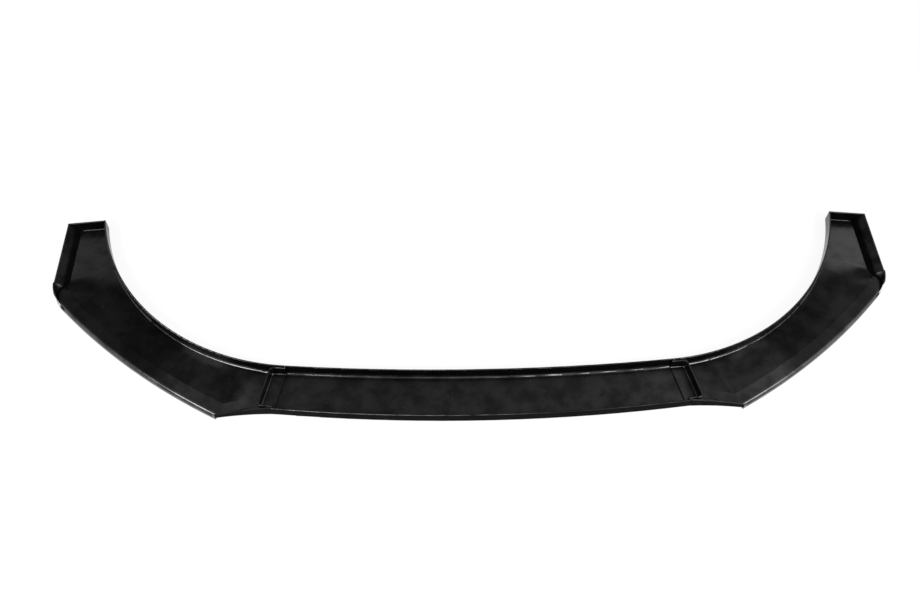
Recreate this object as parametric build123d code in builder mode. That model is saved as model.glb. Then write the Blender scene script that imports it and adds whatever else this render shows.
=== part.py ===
"""Front splitter lip: three thin-walled mouldings that nest at two slanted joints.

Frame: X runs across the car, the front edge faces -Y, +Z is up, and the origin lies under the middle.
"""
from build123d import *
import os
from math import asin, atan2, cos, degrees, hypot, radians, sin, sqrt

os.makedirs("parts", exist_ok=True)

# Whole lip
half_span = 878.0
depth = 493.0
rim_height = 28.0
wall = 3.0
rim_round = 1.1

# Centre section: two long arcs in plan, closed by slanted seams
centre_depth = 103.0
rear_radius = 4560.0
front_radius = 3600.0
seam_rear_x = 386.0
seam_front_x = 408.0
foot_radius = 5.5
keel_radius = 8.0

# Nested joint
overlap = 28.0
seat_gap = 0.3
side_gap = 1.8
butt_gap = 0.8
nest_corner_radius = 9.0

# Side section in plan
pocket_width = 79.6
end_slant = 8.0
end_corner_radius = 6.0
chin_length = 107.0
tip_setback = 17.0
chin_radius = 700.0
corner_setback = 299.0
edge_radius = 1385.0
corner_radius = 75.0

# Blade of the side section
blade_height = 14.0
nose_radius = 9.0
nose_strip = 30.0
tip_rim = 16.0
flat_length = 46.0
curl_start = -22.5
ramp_drop = 40.0
ramp_middle = 52.0
ramp_fade = 85.0

# Fin at the outer end: a sheet that leans outwards
fin_lean = 20.0
fin_foot_radius = 2.0
fin_fall = 21.0

tip_x = seam_front_x + chin_length
tongue = 20.0
lap = 0.3
keel_inside = keel_radius - wall
curl_sink = sin(radians(-curl_start))
curl_radius = (corner_radius * curl_sink + lap) / (1 + curl_sink)
fin_slope = fin_lean / (rim_height - wall)
fin_thick = wall * sqrt(1 + fin_slope**2)


def circle_centre(start, end, radius, side):
    """Centre of the circle through two points, to the left (1) or right (-1) of the chord."""
    chord_x, chord_y = end[0] - start[0], end[1] - start[1]
    chord = hypot(chord_x, chord_y)
    rise = side * sqrt(radius**2 - chord**2 / 4) / chord
    middle = ((start[0] + end[0]) / 2, (start[1] + end[1]) / 2)
    return (middle[0] - rise * chord_y, middle[1] + rise * chord_x)


def heading(centre, point):
    """Angle in degrees of a point seen from a centre."""
    return degrees(atan2(point[1] - centre[1], point[0] - centre[0]))


def polar(centre, radius, angle):
    """Point at a radius and an angle in degrees from a centre."""
    turn = radians(angle)
    return (centre[0] + radius * cos(turn), centre[1] + radius * sin(turn))


def arc_between(centre, start, end, level=0.0):
    """Arc about a centre from one point to another, the short way round."""
    first = heading(centre, start)
    turn = (heading(centre, end) - first + 180) % 360 - 180
    radius = hypot(start[0] - centre[0], start[1] - centre[1])
    return CenterArc((*centre, level), radius, first, turn)


def radial_plane(centre, angle):
    """Upright plane through a vertical axis: local X runs outwards at the angle, local Y is up."""
    out = (cos(radians(angle)), sin(radians(angle)), 0)
    return Plane(origin=(*centre, 0), x_dir=out, z_dir=(out[1], -out[0], 0))


def seam_point(shift, along):
    """Point measured outboard from the seam and rearwards along it."""
    x = seam_front[0] + shift * seam_way[1] + along * seam_way[0]
    y = seam_front[1] - shift * seam_way[0] + along * seam_way[1]
    return (x, y)


def seam_meet(centre, radius, shift):
    """Where a line parallel to the seam meets the front of a circle that lies behind it."""
    base = seam_point(shift, 0)
    away_x, away_y = base[0] - centre[0], base[1] - centre[1]
    half = away_x * seam_way[0] + away_y * seam_way[1]
    along = -half - sqrt(half**2 - away_x**2 - away_y**2 + radius**2)
    return seam_point(shift, along)


def fin_x(level):
    """Outer face of the leaning fin at a level."""
    return half_span - fin_slope * (rim_height - level)


# Plan points of the right half, measured from the front edge
rear_centre = (0.0, centre_depth + rear_radius)
front_centre = (0.0, front_radius)
seam_rear = (seam_rear_x, rear_centre[1] - sqrt(rear_radius**2 - seam_rear_x**2))
seam_front = (seam_front_x, front_centre[1] - sqrt(front_radius**2 - seam_front_x**2))
seam_length = hypot(seam_rear[0] - seam_front[0], seam_rear[1] - seam_front[1])
seam_way = (
    (seam_rear[0] - seam_front[0]) / seam_length,
    (seam_rear[1] - seam_front[1]) / seam_length,
)

# The bend leaves the centre section's rear arc smoothly and ends at the inner corner of the pocket
end_inner = (half_span - pocket_width, depth)
end_outer = (half_span, depth - end_slant)
bend_lean = asin(seam_rear_x / rear_radius)
bend_across, bend_along = end_inner[0] - seam_rear[0], end_inner[1] - seam_rear[1]
bend_rise = bend_along * cos(bend_lean) - bend_across * sin(bend_lean)
bend_radius = (bend_across**2 + bend_along**2) / (2 * bend_rise)
bend_centre = (
    seam_rear[0] - bend_radius * sin(bend_lean),
    seam_rear[1] + bend_radius * cos(bend_lean),
)

tip = (tip_x, tip_setback)
corner = (half_span, corner_setback)
edge_centre = circle_centre(tip, corner, edge_radius, 1)
chin_centre = circle_centre(seam_front, tip, chin_radius, -1)
corner_x = half_span - corner_radius
corner_drop = sqrt((edge_radius - corner_radius) ** 2 - (corner_x - edge_centre[0]) ** 2)
corner_centre = (corner_x, edge_centre[1] - corner_drop)
edge_end = polar(edge_centre, edge_radius, heading(edge_centre, corner_centre))
winglet_front = (half_span, corner_centre[1])
curl_centre = polar(corner_centre, corner_radius - curl_radius, curl_start)

# Stations of the blade: where it leaves the flat joint floor, the tip, and the crest before the pocket
foot_line = bend_radius + wall / 2
strip_line = edge_radius - nose_strip
tip_heading = heading(edge_centre, tip)
flat_in = seam_meet(bend_centre, foot_line, flat_length)
flat_strip = seam_point(flat_length, nose_strip)
flat_out = seam_point(flat_length, keel_radius)
tip_strip = polar(edge_centre, strip_line, tip_heading)
tip_out = polar(edge_centre, edge_radius - wall, tip_heading)
tip_in = polar(bend_centre, foot_line, heading(bend_centre, tip_strip))
fin_y = corner_centre[1]
crest_y = curl_centre[1]
crest_in = (bend_centre[0] + sqrt(foot_line**2 - (crest_y - bend_centre[1]) ** 2), crest_y)
crest_strip = (edge_centre[0] + sqrt(strip_line**2 - (crest_y - edge_centre[1]) ** 2), crest_y)
crest_out = (fin_x(blade_height) - fin_thick / 2, crest_y)
fade_y = crest_y + ramp_fade
fade_line = bend_radius + 2 * wall
fade_in = (bend_centre[0] + sqrt(fade_line**2 - (fade_y - bend_centre[1]) ** 2), fade_y)
drop_strip = (crest_strip[0], crest_y + ramp_middle)
drop_out = (crest_out[0], crest_y + ramp_drop)


def tray_plan(inset, reach, level):
    """Plan of the centre section, drawn in by the inset and carried past the seams by the reach."""
    back = seam_meet(rear_centre, rear_radius + inset, reach)
    front = seam_meet(front_centre, front_radius - inset, reach)
    with BuildSketch(Plane.XY.offset(level)) as plan:
        with BuildLine():
            arc_between(rear_centre, (-back[0], back[1]), back)
            Line(back, front)
            arc_between(front_centre, front, (-front[0], front[1]))
            Line((-front[0], front[1]), (-back[0], back[1]))
        make_face()
    return plan.sketch


def nearest(vertices, point):
    """The vertex of a flat section that lies closest to a point of its plane."""
    return vertices.sort_by_distance((*point, 0))[0]


def wall_section(plane, face, inward, foot, keel=0.0, rounded=True):
    """Upright wall on a strip of floor, with a filleted foot and, where asked, a rounded rim."""
    inside = face + inward * wall
    far = face + inward * tongue
    top = wall - lap
    with BuildSketch(plane) as section:
        with BuildLine():
            Polyline((face, 0), (face, rim_height), (inside, rim_height), (inside, 0), close=True)
        make_face()
        with BuildLine():
            Polyline((face, 0), (face, top), (far, top), (far, 0), close=True)
        make_face()
        fillet(nearest(section.sketch_local.vertices(), (inside, top)), foot)
        if rounded:
            corners = section.sketch_local.vertices()
            rims = [nearest(corners, (face, rim_height)), nearest(corners, (inside, rim_height))]
            fillet(rims, rim_round)
        if keel > 0:
            fillet(nearest(section.sketch_local.vertices(), (face, 0)), keel)
    return section.sketch


def nose_section(plane, face, start):
    """Sheet at the blade's height that rolls over into an upright edge."""
    inside = face - wall
    under = blade_height - wall
    with BuildSketch(plane) as section:
        with BuildLine():
            Polyline(
                (start, blade_height),
                (face, blade_height),
                (face, 0),
                (inside, 0),
                (inside, under),
                (start, under),
                close=True,
            )
        make_face()
        fillet(nearest(section.sketch_local.vertices(), (face, blade_height)), nose_radius)
        fillet(nearest(section.sketch_local.vertices(), (inside, under)), nose_radius - wall)
    return section.sketch


def floor_patch(near_row, far_row, near_reach, far_reach):
    """Smooth strip of floor between two rows of points, level with each row over its reach."""
    ways = [far - near for near, far in zip(near_row, far_row)]
    levels = [Vector(way.X, way.Y, 0) for way in ways]
    rows = [
        near_row,
        [near + way * reach for near, way, reach in zip(near_row, levels, near_reach)],
        [far - way * reach for far, way, reach in zip(far_row, levels, far_reach)],
        far_row,
    ]
    return Face.make_bezier_surface(rows)


def at(point, level):
    """Plan point lifted to a level."""
    return Vector(point[0], point[1], level)


# Hollows of the centre section
with BuildPart() as tray_hollow:
    extrude(tray_plan(wall, -wall, wall), amount=rim_height)
    floor_edges = tray_hollow.edges().group_by(Axis.Z)[0].sort_by(Axis.Y)
    fillet(floor_edges[-1], foot_radius)
    floor_edges = tray_hollow.edges().group_by(Axis.Z)[0].sort_by(Axis.Y)
    fillet(floor_edges[0], keel_inside)

with BuildPart() as nest_hollow:
    extrude(tray_plan(2 * wall + side_gap, overlap - wall, 2 * wall + seat_gap), amount=rim_height)
    fillet(nest_hollow.edges().filter_by(Axis.Z), nest_corner_radius - wall)
    fillet(nest_hollow.edges().group_by(Axis.Z)[0], foot_radius - wall)

# Stepped block that lies inside both side sections
with BuildPart() as nest_block:
    extrude(tray_plan(wall + side_gap, overlap, wall + seat_gap), amount=rim_height - wall - seat_gap)
    fillet(nest_block.edges().filter_by(Axis.Z), nest_corner_radius)
    fillet(nest_block.edges().group_by(Axis.Z)[0], foot_radius)

with BuildPart() as centre_tray:
    extrude(tray_plan(0, 0, 0), amount=rim_height)
    fillet(centre_tray.edges().group_by(Axis.Z)[0].sort_by(Axis.Y)[0], keel_radius)
    add(nest_block.part)
    add(tray_hollow.part, mode=Mode.SUBTRACT)
    add(nest_hollow.part, mode=Mode.SUBTRACT)
    fillet(centre_tray.edges().group_by(Axis.Z)[-1], rim_round)

# Each section is moved so that the origin lies half-way between front and rear
with BuildPart() as centre_section:
    with Locations((0, -depth / 2)):
        add(centre_tray.part)
centre_section.part.label = "centre_section"
export_step(centre_section.part, "parts/centre_section.step")

# Outline of the right section, used to trim it
with BuildPart() as side_outline:
    with BuildSketch() as side_plan:
        with BuildLine():
            arc_between(bend_centre, seam_meet(bend_centre, bend_radius, butt_gap), end_inner)
            Line(end_inner, end_outer)
            Line(end_outer, winglet_front)
            arc_between(corner_centre, winglet_front, edge_end)
            arc_between(edge_centre, edge_end, tip)
            chin_seam = polar(chin_centre, chin_radius, heading(chin_centre, seam_point(butt_gap, 0)))
            arc_between(chin_centre, tip, chin_seam)
            Line(chin_seam, seam_meet(bend_centre, bend_radius, butt_gap))
        make_face()
        fillet(nearest(side_plan.vertices(), end_outer), end_corner_radius)
    extrude(amount=rim_height)

# Floor of the right section
blade_inner = arc_between(bend_centre, tip_in, crest_in, wall)
blade_outer = arc_between(edge_centre, tip_strip, crest_strip, blade_height)
blade_face = Face.make_surface_from_curves(blade_inner, blade_outer)
even = (1 / 3, 1 / 3)
rise_in = floor_patch(
    [at(flat_in, wall), at(flat_strip, wall)],
    [at(tip_in, wall), at(tip_strip, blade_height)],
    even,
    even,
)
rise_out = floor_patch(
    [at(flat_strip, wall), at(flat_out, wall)],
    [at(tip_strip, blade_height), at(tip_out, blade_height)],
    even,
    even,
)
# The blade drops into the pocket: steeply beside the fin, fading out towards the flange
ramp_in = floor_patch(
    [at(crest_in, wall), at(crest_strip, blade_height)],
    [at(fade_in, wall), at(drop_strip, wall)],
    even,
    even,
)
ramp_out = floor_patch(
    [at(crest_strip, blade_height), at(crest_out, blade_height)],
    [at(drop_strip, wall), at(drop_out, wall)],
    even,
    even,
)

with BuildSketch() as joint_floor:
    with BuildLine():
        joint_rear = seam_meet(bend_centre, foot_line, 0)
        Polyline(joint_rear, flat_in, flat_out, seam_point(0, keel_radius), close=True)
    make_face()

with BuildSketch() as pocket_floor:
    with BuildLine():
        pocket_side = (half_span, drop_out[1])
        pocket_rear = (end_inner[0] + 2 * wall, depth)
        Polyline(fade_in, drop_strip, drop_out, pocket_side, end_outer, pocket_rear, close=True)
    make_face()

# Leaning fin on a strip of floor
with BuildSketch(Plane.XZ.offset(-fin_y)) as fin:
    with BuildLine():
        Polyline(
            (fin_x(0), 0),
            (half_span, rim_height),
            (half_span - fin_thick, rim_height),
            (fin_x(0) - fin_thick, 0),
            close=True,
        )
    make_face()
    with BuildLine():
        foot_top = wall - lap
        fin_floor = fin_x(0) - fin_thick - tongue
        Polyline(
            (fin_floor, 0),
            (fin_x(0), 0),
            (fin_x(foot_top), foot_top),
            (fin_floor, foot_top),
            close=True,
        )
    make_face()
    fillet(nearest(fin.sketch_local.vertices(), (fin_x(foot_top) - fin_thick, foot_top)), fin_foot_radius)
    fin_rims = fin.sketch_local.vertices().group_by(Axis.Y)[-1]
    fillet(fin_rims, rim_round)

# Strips of the wall that winds round the curl: at the ground and at the rim
wind_inner = polar(corner_centre, corner_radius - wall, curl_start)
wind_outer = polar(corner_centre, corner_radius, curl_start)


def wind_strip(level, inner, outer, inner_radius, outer_radius):
    """Curved strip from the front end of the fin to where the curl meets the rounded corner."""
    with BuildSketch(Plane.XY.offset(level)) as strip:
        with BuildLine():
            arc_between(circle_centre(inner, wind_inner, inner_radius, -1), inner, wind_inner)
            Line(wind_inner, wind_outer)
            arc_between(circle_centre(outer, wind_outer, outer_radius, -1), wind_outer, outer)
            Line(outer, inner)
        make_face()
    return strip.sketch


# Front wall between the seam and the tip, its rim falling to the tip
with BuildPart() as chin_wall:
    chin_start = heading(chin_centre, tip) - 1
    chin_turn = heading(chin_centre, seam_front) + 1 - chin_start
    chin_plane = radial_plane(chin_centre, chin_start)
    chin = wall_section(chin_plane, chin_radius, 1, foot_radius, keel_radius, rounded=False)
    revolve(chin, axis=Axis((*chin_centre, 0), (0, 0, 1)), revolution_arc=chin_turn)
    with BuildSketch(Plane.XZ):
        with BuildLine():
            Polyline(
                (seam_front_x, rim_height),
                (tip_x, tip_rim),
                (tip_x + tongue, tip_rim),
                (tip_x + tongue, rim_height + wall),
                (seam_front_x, rim_height + wall),
                close=True,
            )
        make_face()
    extrude(amount=-tip_setback - tongue, mode=Mode.SUBTRACT)

# Rounded front corner of the fin, its rim falling into the rolled edge
with BuildPart() as fin_corner:
    bow_turn = heading(corner_centre, edge_end)
    ground = wind_strip(
        0,
        (fin_x(0) - fin_thick, fin_y),
        (fin_x(0), fin_y),
        curl_radius + wall / 3,
        curl_radius + wall,
    )
    crown = wind_strip(
        rim_height,
        (half_span - fin_thick, fin_y),
        winglet_front,
        corner_radius - wall,
        corner_radius,
    )
    loft([ground, crown], ruled=True)
    bow_start = curl_start + 1
    with BuildSketch(radial_plane(corner_centre, bow_start)) as bow:
        with Locations((corner_radius, 0)):
            Rectangle(wall, rim_height, align=(Align.MAX, Align.MIN))
    corner_axis = Axis((*corner_centre, 0), (0, 0, 1))
    revolve(bow.sketch, axis=corner_axis, revolution_arc=bow_turn - bow_start)
    with BuildSketch(Plane.YZ.offset(fin_x(0) - tongue)):
        fall_run = fin_y - edge_end[1]
        fall_radius = (fall_run**2 + fin_fall**2) / (2 * fin_fall)
        fall_end = (edge_end[1], rim_height - fin_fall)
        with BuildLine():
            arc_between((fin_y, rim_height - fall_radius), (fin_y, rim_height), fall_end)
            Polyline(
                fall_end,
                (edge_end[1] - tongue, rim_height - fin_fall),
                (edge_end[1] - tongue, rim_height + wall),
                (fin_y, rim_height + wall),
                (fin_y, rim_height),
            )
        make_face()
    extrude(amount=fin_lean + 2 * tongue, mode=Mode.SUBTRACT)

with BuildPart() as side_shell:
    # Rear flange, turned about the axis of the bend
    flange_start = heading(bend_centre, seam_rear) - 1
    flange_turn = heading(bend_centre, end_inner) + 1 - flange_start
    flange = wall_section(radial_plane(bend_centre, flange_start), bend_radius, 1, foot_radius)
    revolve(flange, axis=Axis((*bend_centre, 0), (0, 0, 1)), revolution_arc=flange_turn)
    add(chin_wall.part)
    # Fin, its front corner, and the end wall
    extrude(fin.sketch, amount=fin_y - depth)
    add(fin_corner.part)
    end_angle = heading(end_inner, end_outer)
    end_wall = wall_section(radial_plane(end_inner, end_angle - 90), 0, 1, fin_foot_radius)
    extrude(end_wall, amount=-2 * pocket_width, both=True)
    # Rolled outer edge, carried round the corner and curled in before the pocket
    nose = nose_section(radial_plane(edge_centre, tip_heading), edge_radius, strip_line)
    nose_turn = heading(edge_centre, crest_strip) - tip_heading
    revolve(nose, axis=Axis((*edge_centre, 0), (0, 0, 1)), revolution_arc=nose_turn)
    roll = nose_section(radial_plane(corner_centre, curl_start), corner_radius, corner_radius - nose_strip)
    revolve(roll, axis=corner_axis, revolution_arc=bow_turn - curl_start)
    curl = nose_section(radial_plane(curl_centre, curl_start), curl_radius, 0)
    revolve(curl, axis=Axis((*curl_centre, 0), (0, 0, 1)), revolution_arc=90 - curl_start)
    # Floor
    for panel in (joint_floor, pocket_floor):
        extrude(panel.sketch, amount=wall)
    for patch in (blade_face, rise_in, rise_out, ramp_in, ramp_out):
        extrude(patch, amount=wall - lap, dir=(0, 0, -1))
    add(side_outline.part, mode=Mode.INTERSECT)
    # Nothing stands outside the leaning fin
    with BuildSketch(Plane.XZ.offset(-fin_y)):
        with BuildLine():
            Polyline((fin_x(0), 0), (half_span, 0), (half_span, rim_height), close=True)
        make_face()
    extrude(amount=fin_y - depth, mode=Mode.SUBTRACT)

with BuildPart() as right_section:
    with Locations((0, -depth / 2)):
        add(side_shell.part)
right_section.part.label = "right_section"
export_step(right_section.part, "parts/right_section.step")

with BuildPart() as left_section:
    mirror(right_section.part, about=Plane.YZ)
left_section.part.label = "left_section"
export_step(left_section.part, "parts/left_section.step")
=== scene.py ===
import bpy
from collections import namedtuple
from math import cos, radians, sin
from mathutils import Matrix, Vector


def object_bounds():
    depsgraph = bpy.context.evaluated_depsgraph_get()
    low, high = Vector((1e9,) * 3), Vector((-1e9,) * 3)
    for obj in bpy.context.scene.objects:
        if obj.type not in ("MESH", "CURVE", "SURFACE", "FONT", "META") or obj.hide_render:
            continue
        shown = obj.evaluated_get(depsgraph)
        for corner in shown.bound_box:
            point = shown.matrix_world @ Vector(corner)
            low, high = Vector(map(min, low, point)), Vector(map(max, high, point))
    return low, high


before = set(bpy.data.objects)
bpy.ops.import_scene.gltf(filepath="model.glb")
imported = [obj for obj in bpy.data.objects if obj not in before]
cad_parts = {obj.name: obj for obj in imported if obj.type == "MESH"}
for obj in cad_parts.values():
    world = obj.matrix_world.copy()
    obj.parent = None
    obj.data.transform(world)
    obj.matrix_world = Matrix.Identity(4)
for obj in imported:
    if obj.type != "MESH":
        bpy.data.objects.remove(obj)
cad_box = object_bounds()
scene = bpy.context.scene

# Camera fitted to the photograph
IMAGE_WIDTH = 920
FOCAL_PX = 958.6
SENSOR_WIDTH = 36.0
CLIP_END = 50.0
ELEVATION = radians(56.06)
YAW = radians(3.735)
ROLL = radians(2.184)
CAMERA_AT = Vector((-0.1073, -1.0959, 1.6682))

# Far corner of the lip in the frame, and the level of the strip beside its rolled edge, in metres
HALF_WIDTH, REAR, RIM = cad_box[1]
STRIP = 0.014

# Spans in metres over which the finish changes: heights, places along Y, distances from the middle
NEAR_RIM = (RIM - 0.008, RIM - 0.002)
FIN_FOOT = (RIM - 0.018, RIM - 0.008)
BLADE_RISE = (STRIP - 0.009, STRIP - 0.0005)
STRIP_LEVEL = (STRIP - 0.0003, STRIP)
POCKET_START = (REAR - 0.187, REAR - 0.117)
POCKET_END = (REAR - 0.097, REAR - 0.027)
LIP_DEPTH = (-REAR, REAR)
CENTRE_SIDE = (HALF_WIDTH - 0.633, HALF_WIDTH - 0.466)
JOINT_SIDE = (HALF_WIDTH - 0.442, HALF_WIDTH - 0.409)
BLADE_SIDE = (HALF_WIDTH - 0.378, HALF_WIDTH - 0.286)
FIN_SIDE = (HALF_WIDTH - 0.033, HALF_WIDTH - 0.026)

# Added to the squared distance from the middle, so that the blade's inner limit lies aslant
BLADE_SLANT = (-0.125, 0.125)

# Spans of a face's unit normal over which the finish changes: upwards, then forwards, then sideways
STEEP = (0.86, 0.94)
LEVEL = (0.93, 0.975)
LEANING = (0.70, 0.85)
UPRIGHT = (0.05, 0.55)
FORWARD = (-0.96, -0.91)
SIDEWAYS = (0.5, 0.671)

# Noise patterns, as scale and detail, and the roughness that they share
SMUDGES = (24.0, 8.0)
GRAIN = (420.0, 3.0)
DRIFT = (30.0, 6.0)
NOISE_ROUGHNESS = 0.6

# Black plastic: the smudges' noise sets its roughness and its gloss
PLASTIC_IOR = 1.46
ROUGH_SMUDGE, SATIN_ROUGHNESS = (0.35, 0.70), (0.28, 0.36)
GLOSS_SMUDGE, SATIN_GLOSS = (0.34, 0.62), (0.30, 0.56)
# Roughness share on fillets and rolled edges, lowered for their painted highlight
FILLET_HIGHLIGHT_ROUGHNESS = 0.8
# Roughness added on upright faces at the front, for their painted shade
FRONT_SHADE_ROUGHNESS = 0.30
# Shares of the painted highlight kept at the rims and at the rear ends
RIM_HIGHLIGHT_SHARE = 0.45
REAR_HIGHLIGHT_SHARE = 0.3
GRAIN_STRENGTH = 0.08
GRAIN_HEIGHT = 0.0004
BLACKS = ((0.35, (0.0010, 0.0010, 0.0011, 1)), (0.75, (0.0028, 0.0028, 0.0030, 1)))
DUST_SCALE = 60.0
DUST_SPECK = (0.025, 0.05)
DUST_COVER = 0.35
DUST_COLOUR = (0.22, 0.22, 0.21, 1)

# Gloss of each place, as a share of the plain satin's: raised for painted highlights and lowered for
# painted shade
FILLET_HIGHLIGHT_GLOSS = 2.1
FRONT_SHADE_GLOSS = 0.03
BLADE_SHADE_GLOSS = 0.40
CREST_HIGHLIGHT_GLOSS = 1.4
STRIP_SHADE_GLOSS = 0.55
FIN_FOOT_SHADE_GLOSS = 0.05
NEST_SHADE_GLOSS = 0.08
CENTRE_SHADE_GLOSS = 0.8

# Floor, just under the lip
WHITE = (1, 1, 1, 1)
FLOOR_SIZE = 16.0
FLOOR_LEVEL = -0.0005
FLOOR_COLOUR = (0.82, 0.82, 0.82, 1)
FLOOR_GLOW = 0.88

# Room that the plastic reflects: spans of a ray's direction, and the light at both ends of each span
REAR_WALL, REAR_LIGHT = (0.42, 0.50), (1.4, 0.10)
LEFT_TO_RIGHT, SIDE_LIGHT = (-0.25, 0.35), (0.50, 0.85)
HORIZON, HORIZON_LIGHT = (0.2, 0.6), (0.3, 1.0)
END_WALLS, END_WALL_LIGHT = (0.872, 0.975), (0.0, 1.2)

# Windows: direction, how closely a ray points there, and strength
WINDOWS = (
    ((0.50, 0.58, 0.64), (0.977, 0.998), 3.2),
    ((-0.45, 0.60, 0.66), (0.975, 0.998), 1.05),
)

# Softboxes: name, place, aim, size and watts
SOFTBOXES = (
    ("softbox_left", (-1.85, -1.40, 1.55), (-0.5, -0.1, 0.0), (1.5, 0.9), 60),
    ("softbox_right", (1.85, -1.42, 1.50), (0.45, -0.1, 0.0), (1.8, 0.9), 58),
)

Axes = namedtuple("Axes", "x y z")


def make_camera():
    data = bpy.data.cameras.new("camera")
    data.sensor_fit = "HORIZONTAL"
    data.sensor_width = SENSOR_WIDTH
    data.lens = SENSOR_WIDTH * FOCAL_PX / IMAGE_WIDTH
    data.clip_end = CLIP_END
    camera = bpy.data.objects.new("camera", data)
    scene.collection.objects.link(camera)
    ahead = Vector((sin(YAW) * cos(ELEVATION), cos(YAW) * cos(ELEVATION), -sin(ELEVATION)))
    right = Vector((cos(YAW), -sin(YAW), 0.0))
    up = right.cross(ahead)
    right, up = cos(ROLL) * right + sin(ROLL) * up, cos(ROLL) * up - sin(ROLL) * right
    turn = Matrix((right, up, -ahead)).transposed().to_4x4()
    camera.matrix_world = Matrix.Translation(CAMERA_AT) @ turn
    scene.camera = camera


def new_material(name):
    """Empty material, its node tree and the socket for its surface."""
    material = bpy.data.materials.new(name)
    material.use_nodes = True
    tree = material.node_tree
    tree.nodes.clear()
    output = tree.nodes.new("ShaderNodeOutputMaterial")
    return material, tree, output.inputs["Surface"]


def noise(tree, vector, scale, detail):
    texture = tree.nodes.new("ShaderNodeTexNoise")
    texture.inputs["Scale"].default_value = scale
    texture.inputs["Detail"].default_value = detail
    texture.inputs["Roughness"].default_value = NOISE_ROUGHNESS
    tree.links.new(vector, texture.inputs["Vector"])
    return texture.outputs["Fac"]


def remap(tree, value, span, to=(0.0, 1.0)):
    """Map a value smoothly from one span onto another, held at both ends."""
    node = tree.nodes.new("ShaderNodeMapRange")
    node.interpolation_type = "SMOOTHSTEP"
    node.inputs["From Min"].default_value, node.inputs["From Max"].default_value = span
    node.inputs["To Min"].default_value, node.inputs["To Max"].default_value = to
    tree.links.new(value, node.inputs["Value"])
    return node.outputs["Result"]


def share(tree, mask, inside):
    """Factor that is 1 outside the mask and the given value inside it."""
    return remap(tree, mask, (0.0, 1.0), (1.0, inside))


def combine(tree, operation, values):
    """Join several values by one arithmetic operation."""
    result = values[0]
    for value in values[1:]:
        node = tree.nodes.new("ShaderNodeMath")
        node.operation = operation
        tree.links.new(result, node.inputs[0])
        tree.links.new(value, node.inputs[1])
        result = node.outputs["Value"]
    return result


def product(tree, *factors):
    return combine(tree, "MULTIPLY", factors)


def total(tree, *terms):
    return combine(tree, "ADD", terms)


def split(tree, vector):
    node = tree.nodes.new("ShaderNodeSeparateXYZ")
    tree.links.new(vector, node.inputs["Vector"])
    return Axes(*(node.outputs[axis] for axis in "XYZ"))


def squares(span):
    """Span for a squared value, which is the same on the left and on the right."""
    return tuple(end**2 for end in span)


def painted_highlight_faces(tree, place, facing):
    """Painted highlight: fillets and rolled edges get more gloss and less roughness so that their
    highlights show strongly, less so at the rims and at the rear ends.
    """
    return product(
        tree,
        remap(tree, facing.z, STEEP, (1.0, 0.0)),
        remap(tree, place.z, NEAR_RIM, (1.0, RIM_HIGHLIGHT_SHARE)),
        remap(tree, place.y, POCKET_END, (1.0, REAR_HIGHLIGHT_SHARE)),
    )


def painted_front_shade_faces(tree, facing):
    """Painted shade on upright faces at the front: their gloss is nearly taken away so that they stay
    dark.
    """
    upright = remap(tree, facing.z, UPRIGHT, (1.0, 0.0))
    return product(tree, upright, remap(tree, facing.y, FORWARD, (1.0, 0.0)))


def painted_light_by_place(tree, place, facing):
    """Share of the satin's gloss that each place keeps: lowered for painted shade and raised for painted
    highlight.
    """
    spread = product(tree, place.x, place.x)
    # Painted shade and highlight on the blades: they keep less gloss than the pockets behind them, gain
    # gloss as they rise, and end in a strip with less gloss
    slant = remap(tree, place.y, LIP_DEPTH, BLADE_SLANT)
    blade = product(
        tree,
        remap(tree, total(tree, spread, slant), squares(BLADE_SIDE)),
        remap(tree, place.y, POCKET_START, (1.0, 0.0)),
        remap(tree, facing.z, LEVEL),
    )
    crest = product(tree, blade, remap(tree, place.z, BLADE_RISE))
    strip = product(tree, blade, remap(tree, place.z, STRIP_LEVEL))
    # Painted shade: fins lose their gloss at their feet
    fin_foot = product(
        tree,
        remap(tree, spread, squares(FIN_SIDE)),
        remap(tree, place.z, FIN_FOOT, (1.0, 0.0)),
        remap(tree, facing.z, LEANING, (1.0, 0.0)),
    )
    # Painted shade too on the end walls at the joints, which lose their gloss
    nest = product(
        tree,
        remap(tree, product(tree, facing.x, facing.x), squares(SIDEWAYS)),
        remap(tree, spread, squares(JOINT_SIDE), (1.0, 0.0)),
    )
    return product(
        tree,
        share(tree, blade, BLADE_SHADE_GLOSS),
        share(tree, crest, CREST_HIGHLIGHT_GLOSS),
        share(tree, strip, STRIP_SHADE_GLOSS),
        share(tree, fin_foot, FIN_FOOT_SHADE_GLOSS),
        share(tree, nest, NEST_SHADE_GLOSS),
        # Painted shade over the middle of the lip
        remap(tree, spread, squares(CENTRE_SIDE), (CENTRE_SHADE_GLOSS, 1.0)),
    )


def dusty_black(tree, where):
    """Faint drift of the black, with specks of dust."""
    tone = tree.nodes.new("ShaderNodeValToRGB")
    for element, (position, colour) in zip(tone.color_ramp.elements, BLACKS):
        element.position = position
        element.color = colour
    tree.links.new(noise(tree, where, *DRIFT), tone.inputs["Fac"])
    dust = tree.nodes.new("ShaderNodeTexVoronoi")
    dust.inputs["Scale"].default_value = DUST_SCALE
    tree.links.new(where, dust.inputs["Vector"])
    mix = tree.nodes.new("ShaderNodeMix")
    mix.data_type = "RGBA"
    mix.inputs["B"].default_value = DUST_COLOUR
    speck = remap(tree, dust.outputs["Distance"], DUST_SPECK, (DUST_COVER, 0.0))
    tree.links.new(speck, mix.inputs["Factor"])
    tree.links.new(tone.outputs["Color"], mix.inputs["A"])
    return mix.outputs["Result"]


def moulded_grain(tree, where):
    bump = tree.nodes.new("ShaderNodeBump")
    bump.inputs["Strength"].default_value = GRAIN_STRENGTH
    bump.inputs["Distance"].default_value = GRAIN_HEIGHT
    tree.links.new(noise(tree, where, *GRAIN), bump.inputs["Height"])
    return bump.outputs["Normal"]


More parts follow.
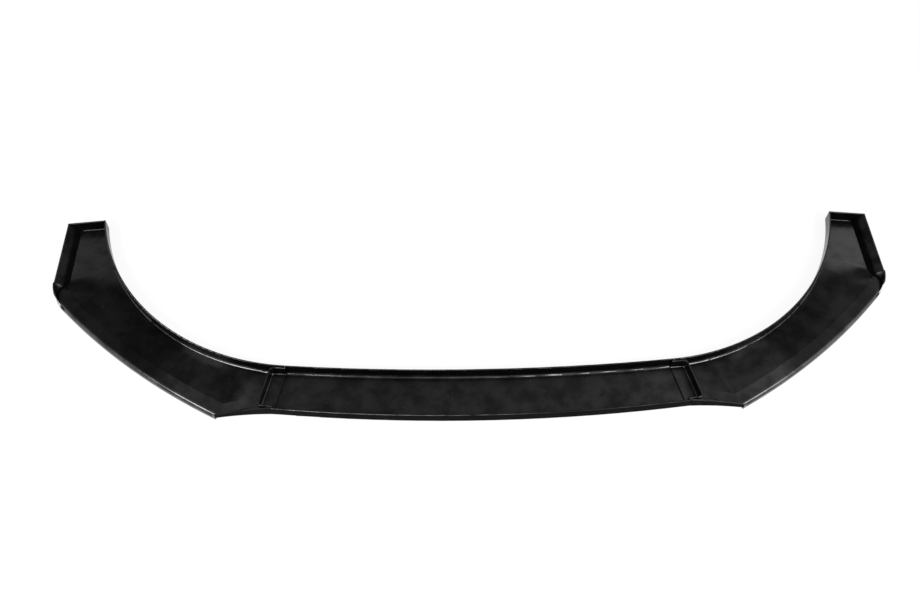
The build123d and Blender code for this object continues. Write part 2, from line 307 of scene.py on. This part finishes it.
def satin_black():
    material, tree, surface = new_material("satin_black_plastic")
    shader = tree.nodes.new("ShaderNodeBsdfPrincipled")
    shader.inputs["IOR"].default_value = PLASTIC_IOR
    where = tree.nodes.new("ShaderNodeTexCoord").outputs["Object"]
    place = split(tree, where)
    facing = split(tree, tree.nodes.new("ShaderNodeNewGeometry").outputs["Normal"])
    # Painted highlight on fillets and rolled edges
    highlight_mask = painted_highlight_faces(tree, place, facing)
    # Painted shade on upright faces at the front
    front_shade_mask = painted_front_shade_faces(tree, facing)
    # Cloudy smudges vary the roughness and the gloss
    smudge = noise(tree, where, *SMUDGES)
    satin = remap(tree, smudge, ROUGH_SMUDGE, SATIN_ROUGHNESS)
    # Roughness is lowered where the painted highlight is
    roughness_under_highlights = product(tree, satin, share(tree, highlight_mask, FILLET_HIGHLIGHT_ROUGHNESS))
    # Roughness is raised on upright faces at the front for their painted shade
    roughness_on_shaded_fronts = remap(tree, front_shade_mask, (0.0, 1.0), (0.0, FRONT_SHADE_ROUGHNESS))
    gloss = product(
        tree,
        remap(tree, smudge, GLOSS_SMUDGE, SATIN_GLOSS),
        share(tree, highlight_mask, FILLET_HIGHLIGHT_GLOSS),
        # Painted shade and painted highlight by place
        painted_light_by_place(tree, place, facing),
        share(tree, front_shade_mask, FRONT_SHADE_GLOSS),
    )
    tree.links.new(total(tree, roughness_under_highlights, roughness_on_shaded_fronts), shader.inputs["Roughness"])
    tree.links.new(gloss, shader.inputs["Specular IOR Level"])
    tree.links.new(moulded_grain(tree, where), shader.inputs["Normal"])
    tree.links.new(dusty_black(tree, where), shader.inputs["Base Color"])
    tree.links.new(shader.outputs["BSDF"], surface)
    return material


def studio_floor():
    """White floor that glows for the camera and in reflections, and still takes the lip's shadow."""
    bpy.ops.mesh.primitive_plane_add(size=FLOOR_SIZE, location=(0, 0, FLOOR_LEVEL))
    floor = bpy.context.object
    floor.name = "studio_floor"
    material, tree, surface = new_material("studio_white")
    diffuse = tree.nodes.new("ShaderNodeBsdfDiffuse")
    diffuse.inputs["Color"].default_value = FLOOR_COLOUR
    glow = tree.nodes.new("ShaderNodeEmission")
    glow.inputs["Color"].default_value = WHITE
    glow.inputs["Strength"].default_value = 1.0
    path = tree.nodes.new("ShaderNodeLightPath").outputs
    seen = combine(tree, "MAXIMUM", (path["Is Camera Ray"], path["Is Glossy Ray"]))
    mix = tree.nodes.new("ShaderNodeMixShader")
    tree.links.new(remap(tree, seen, (0.0, 1.0), (0.0, FLOOR_GLOW)), mix.inputs["Fac"])
    tree.links.new(diffuse.outputs["BSDF"], mix.inputs[1])
    tree.links.new(glow.outputs["Emission"], mix.inputs[2])
    tree.links.new(mix.outputs["Shader"], surface)
    floor.data.materials.append(material)


def softbox(name, at, aim, size, watts):
    data = bpy.data.lights.new(name, "AREA")
    data.shape = "RECTANGLE"
    data.size, data.size_y = size
    data.energy = watts
    lamp = bpy.data.objects.new(name, data)
    scene.collection.objects.link(lamp)
    lamp.location = at
    lamp.rotation_euler = (Vector(aim) - Vector(at)).to_track_quat("-Z", "Y").to_euler()


def window(tree, ray, way, span, strength):
    """Soft bright patch of the room's wall around a direction."""
    along = tree.nodes.new("ShaderNodeVectorMath")
    along.operation = "DOT_PRODUCT"
    along.inputs[1].default_value = Vector(way).normalized()
    tree.links.new(ray, along.inputs[0])
    return remap(tree, along.outputs["Value"], span, (0.0, strength))


def studio_room():
    """Room, dark behind the lip but for two windows, and paler overhead, rightwards and at both ends."""
    world = bpy.data.worlds.new("studio")
    scene.world = world
    world.use_nodes = True
    tree = world.node_tree
    background = tree.nodes["Background"]
    background.inputs["Color"].default_value = WHITE
    ray = tree.nodes.new("ShaderNodeTexCoord").outputs["Generated"]
    way = split(tree, ray)
    room = product(
        tree,
        remap(tree, way.y, REAR_WALL, REAR_LIGHT),
        remap(tree, way.x, LEFT_TO_RIGHT, SIDE_LIGHT),
        remap(tree, way.z, HORIZON, HORIZON_LIGHT),
    )
    windows = [window(tree, ray, *values) for values in WINDOWS]
    end_walls = remap(tree, product(tree, way.x, way.x), squares(END_WALLS), END_WALL_LIGHT)
    # The camera itself sees plain white
    seen = tree.nodes.new("ShaderNodeMix")
    seen.inputs["B"].default_value = 1.0
    tree.links.new(tree.nodes.new("ShaderNodeLightPath").outputs["Is Camera Ray"], seen.inputs["Factor"])
    tree.links.new(total(tree, room, *windows, end_walls), seen.inputs["A"])
    tree.links.new(seen.outputs["Result"], background.inputs["Strength"])


make_camera()
plastic = satin_black()
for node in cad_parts.values():
    node.data.materials.clear()
    node.data.materials.append(plastic)
studio_floor()
studio_room()
for values in SOFTBOXES:
    softbox(*values)
scene.view_settings.view_transform = "Standard"
